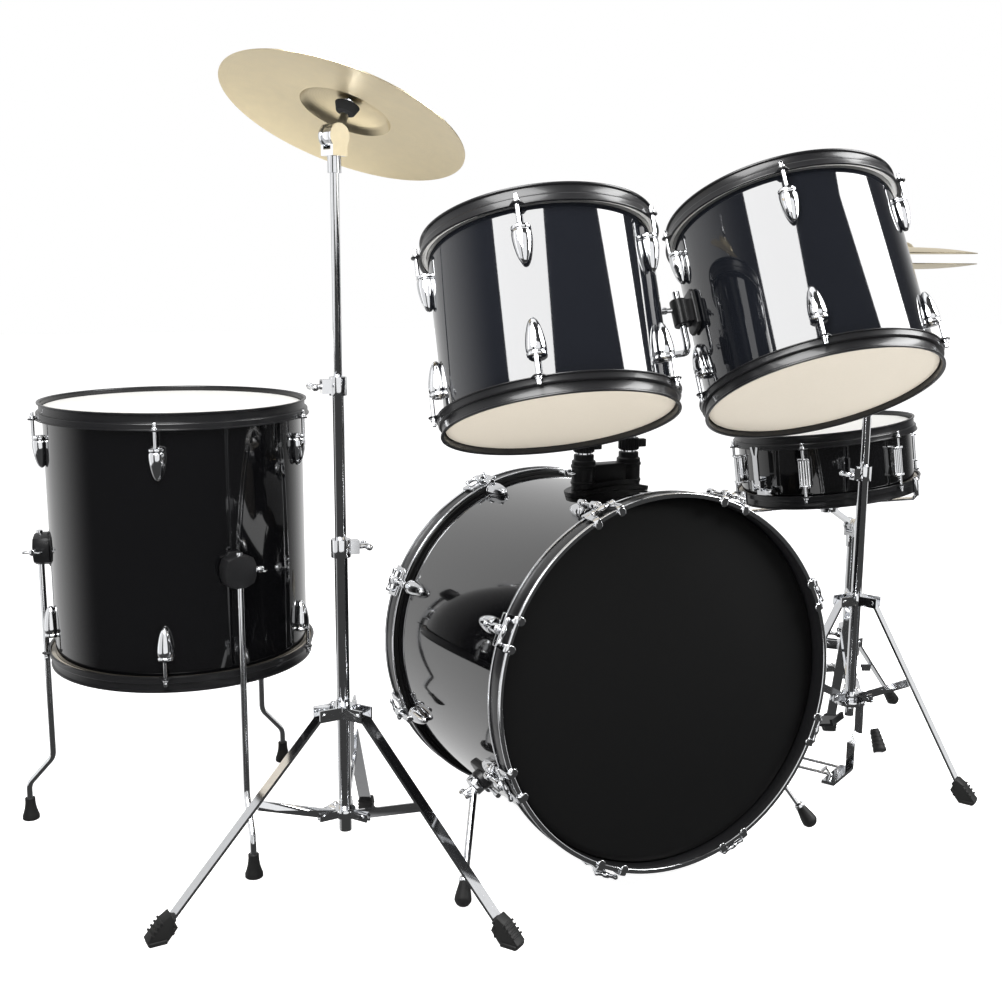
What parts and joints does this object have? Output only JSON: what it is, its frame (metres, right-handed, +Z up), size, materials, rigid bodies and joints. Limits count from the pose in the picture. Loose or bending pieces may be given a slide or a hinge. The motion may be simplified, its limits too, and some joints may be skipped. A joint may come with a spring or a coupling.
{
  "type": "acoustic drum kit",
  "caption": "Free-standing drum kit: bass drum with two mounted toms, floor tom, snare, hi-hat and crash cymbal on tube stands, and a kick pedal.",
  "frame": {"origin": "floor point under the middle of the kit's bounding box", "axes": "+Z up; +X across the kit, from the floor tom towards the snare; -Y the side that faces the audience"},
  "size_m": [1.7819, 1.0199, 1.1982],
  "materials": {
    "black_lacquer": "high gloss black wrap over a ply shell",
    "black_film": "satin black film head",
    "white_film": "coated white film head",
    "clear_film": "hazy translucent film head",
    "black_steel": "gloss black enamel on steel",
    "black_casting": "satin black powder coat on a casting",
    "chrome": "polished chrome plate",
    "steel_wire": "bright coiled steel wire",
    "cymbal_bronze": "lathed satin bronze",
    "rubber": "moulded black rubber"
  },
  "bodies": {
    "root": {"bass_shell": "black_lacquer", "bass_hoops": "black_steel", "bass_heads": "black_film", "bass_lugs": "chrome", "bass_claws": "chrome", "spur_brackets": "black_casting", "tom_holder_base": "black_casting", "floor_tom_legs": "chrome", "snare_stand_base": "chrome", "hihat_base": "chrome", "crash_base_tube": "chrome", "crash_legs": "chrome", "kick_frame": "black_casting", "rubber_feet": "rubber"},
    "left_spur": {"spur_left": "chrome"},
    "right_spur": {"spur_right": "chrome"},
    "small_tom_post": {"tom_small_post": "chrome"},
    "large_tom_post": {"tom_large_post": "chrome"},
    "small_tom": {"tom_small_shell": "black_lacquer", "tom_small_heads": "clear_film", "tom_small_hoops": "black_steel", "tom_small_lugs": "chrome", "tom_small_tension_rods": "chrome", "tom_small_bracket": "black_casting", "tom_small_arm": "chrome"},
    "large_tom": {"tom_large_shell": "black_lacquer", "tom_large_heads": "clear_film", "tom_large_hoops": "black_steel", "tom_large_lugs": "chrome", "tom_large_tension_rods": "chrome", "tom_large_bracket": "black_casting", "tom_large_arm": "chrome"},
    "floor_tom": {"floor_tom_shell": "black_lacquer", "floor_tom_heads": "white_film", "floor_tom_hoops": "black_steel", "floor_tom_lugs": "chrome", "floor_tom_tension_rods": "chrome", "floor_tom_leg_brackets": "black_casting"},
    "snare_post": {"snare_stand_tube": "chrome"},
    "snare_drum": {"snare_stand_basket": "chrome", "snare_shell": "black_lacquer", "snare_heads": "white_film", "snare_hoops": "black_steel", "snare_lugs": "chrome", "snare_tension_rods": "chrome", "snare_strainer": "chrome", "snare_wires": "steel_wire"},
    "snare_throw_off": {"snare_strainer_lever": "chrome"},
    "hihat_stem": {"hihat_upper_tube": "chrome", "hihat_bottom_cymbal": "cymbal_bronze"},
    "hihat_rod": {"hihat_pull_rod": "chrome"},
    "hihat_top": {"hihat_clutch": "chrome", "hihat_top_cymbal": "cymbal_bronze"},
    "hihat_pedal": {"hihat_footboard": "black_casting"},
    "crash_middle": {"crash_mid_tube": "chrome"},
    "crash_upper": {"crash_upper_tube": "chrome"},
    "crash_arm": {"crash_tilter": "chrome"},
    "crash_plate": {"crash_cymbal": "cymbal_bronze"},
    "kick_pedal": {"kick_footboard": "black_casting"},
    "kick_hammer": {"kick_beater": "chrome"}
  },
  "joints": [
    {"name": "left_spur_fold", "type": "hinge", "parent": "root", "child": "left_spur", "pos_m": [-0.27599, -0.13588, 0.14599], "axis": [-0.848, -0.0314, -0.529], "range_deg": [0, 75]},
    {"name": "right_spur_fold", "type": "hinge", "parent": "root", "child": "right_spur", "pos_m": [0.24199, -0.13588, 0.14599], "axis": [0.848, -0.0314, -0.529], "range_deg": [-75, 0]},
    {"name": "small_tom_swivel", "type": "hinge", "parent": "root", "child": "small_tom_post", "pos_m": [-0.064, -0.083, 0.637], "axis": [0, 0, 1], "range_deg": [-10, 3]},
    {"name": "small_tom_tilt", "type": "hinge", "parent": "small_tom_post", "child": "small_tom", "pos_m": [-0.064, -0.083, 0.76], "axis": [1, 0, 0], "range_deg": [-12, 12]},
    {"name": "large_tom_swivel", "type": "hinge", "parent": "root", "child": "large_tom_post", "pos_m": [0.018, -0.083, 0.637], "axis": [0, 0, 1], "range_deg": [-3, 6]},
    {"name": "large_tom_tilt", "type": "hinge", "parent": "large_tom_post", "child": "large_tom", "pos_m": [0.018, -0.083, 0.785], "axis": [1, 0, 0], "range_deg": [-12, 8]},
    {"name": "floor_tom_height", "type": "slide", "parent": "root", "child": "floor_tom", "axis": [0, 0, 1], "range_m": [-0.05, 0.02]},
    {"name": "snare_height", "type": "slide", "parent": "root", "child": "snare_post", "axis": [0, 0, 1], "range_m": [-0.06, 0.08]},
    {"name": "snare_tilt", "type": "hinge", "parent": "snare_post", "child": "snare_drum", "pos_m": [0.7, 0.154, 0.419], "axis": [0.2029, -0.9792, 0], "range_deg": [-10, 10]},
    {"name": "strainer_throw", "type": "hinge", "parent": "snare_drum", "child": "snare_throw_off", "pos_m": [0.43171, 0.11705, 0.525], "axis": [0.1385, -0.9855, 0.0976], "range_deg": [0, 70]},
    {"name": "hihat_height", "type": "slide", "parent": "root", "child": "hihat_stem", "axis": [0, 0, 1], "range_m": [-0.05, 0.01]},
    {"name": "hihat_pull", "type": "slide", "parent": "root", "child": "hihat_rod", "axis": [0, 0, 1], "range_m": [-0.0156, 0]},
    {"name": "hihat_clutch_slide", "type": "slide", "parent": "hihat_rod", "child": "hihat_top", "axis": [0, 0, 1], "range_m": [-0.05, 0.01]},
    {"name": "hihat_footboard_hinge", "type": "hinge", "parent": "root", "child": "hihat_pedal", "pos_m": [0.3912, 0.18864, 0.026], "axis": [-0.8829, -0.4695, 0], "range_deg": [-3.3, 0]},
    {"name": "crash_lower_slide", "type": "slide", "parent": "root", "child": "crash_middle", "axis": [0, 0, 1], "range_m": [-0.02, 0.12]},
    {"name": "crash_upper_slide", "type": "slide", "parent": "crash_middle", "child": "crash_upper", "axis": [0, 0, 1], "range_m": [-0.02, 0.15]},
    {"name": "crash_tilt", "type": "hinge", "parent": "crash_upper", "child": "crash_arm", "pos_m": [-0.477, -0.113, 1.104], "axis": [-0.3794, 0.9252, 0], "range_deg": [-25, 10]},
    {"name": "crash_rock", "type": "hinge", "parent": "crash_arm", "child": "crash_plate", "pos_m": [-0.4513, -0.10246, 1.15232], "axis": [-0.3794, 0.9252, 0], "range_deg": [-8, 8], "stiffness_Nm_per_rad": 8},
    {"name": "kick_footboard_hinge", "type": "hinge", "parent": "root", "child": "kick_pedal", "pos_m": [-0.017, 0.474, 0.026], "axis": [1, 0, 0], "range_deg": [0, 14]},
    {"name": "kick_beater_swing", "type": "hinge", "parent": "root", "child": "kick_hammer", "pos_m": [-0.017, 0.234, 0.165], "axis": [1, 0, 0], "range_deg": [0, 52]}
  ],
  "couplings": [
    {"joint": "hihat_pull", "follows": "hihat_footboard_hinge", "m_per_rad": 0.267},
    {"joint": "hihat_clutch_slide", "follows": "hihat_height", "ratio": 1},
    {"joint": "kick_beater_swing", "follows": "kick_footboard_hinge", "ratio": 3.66}
  ]
}
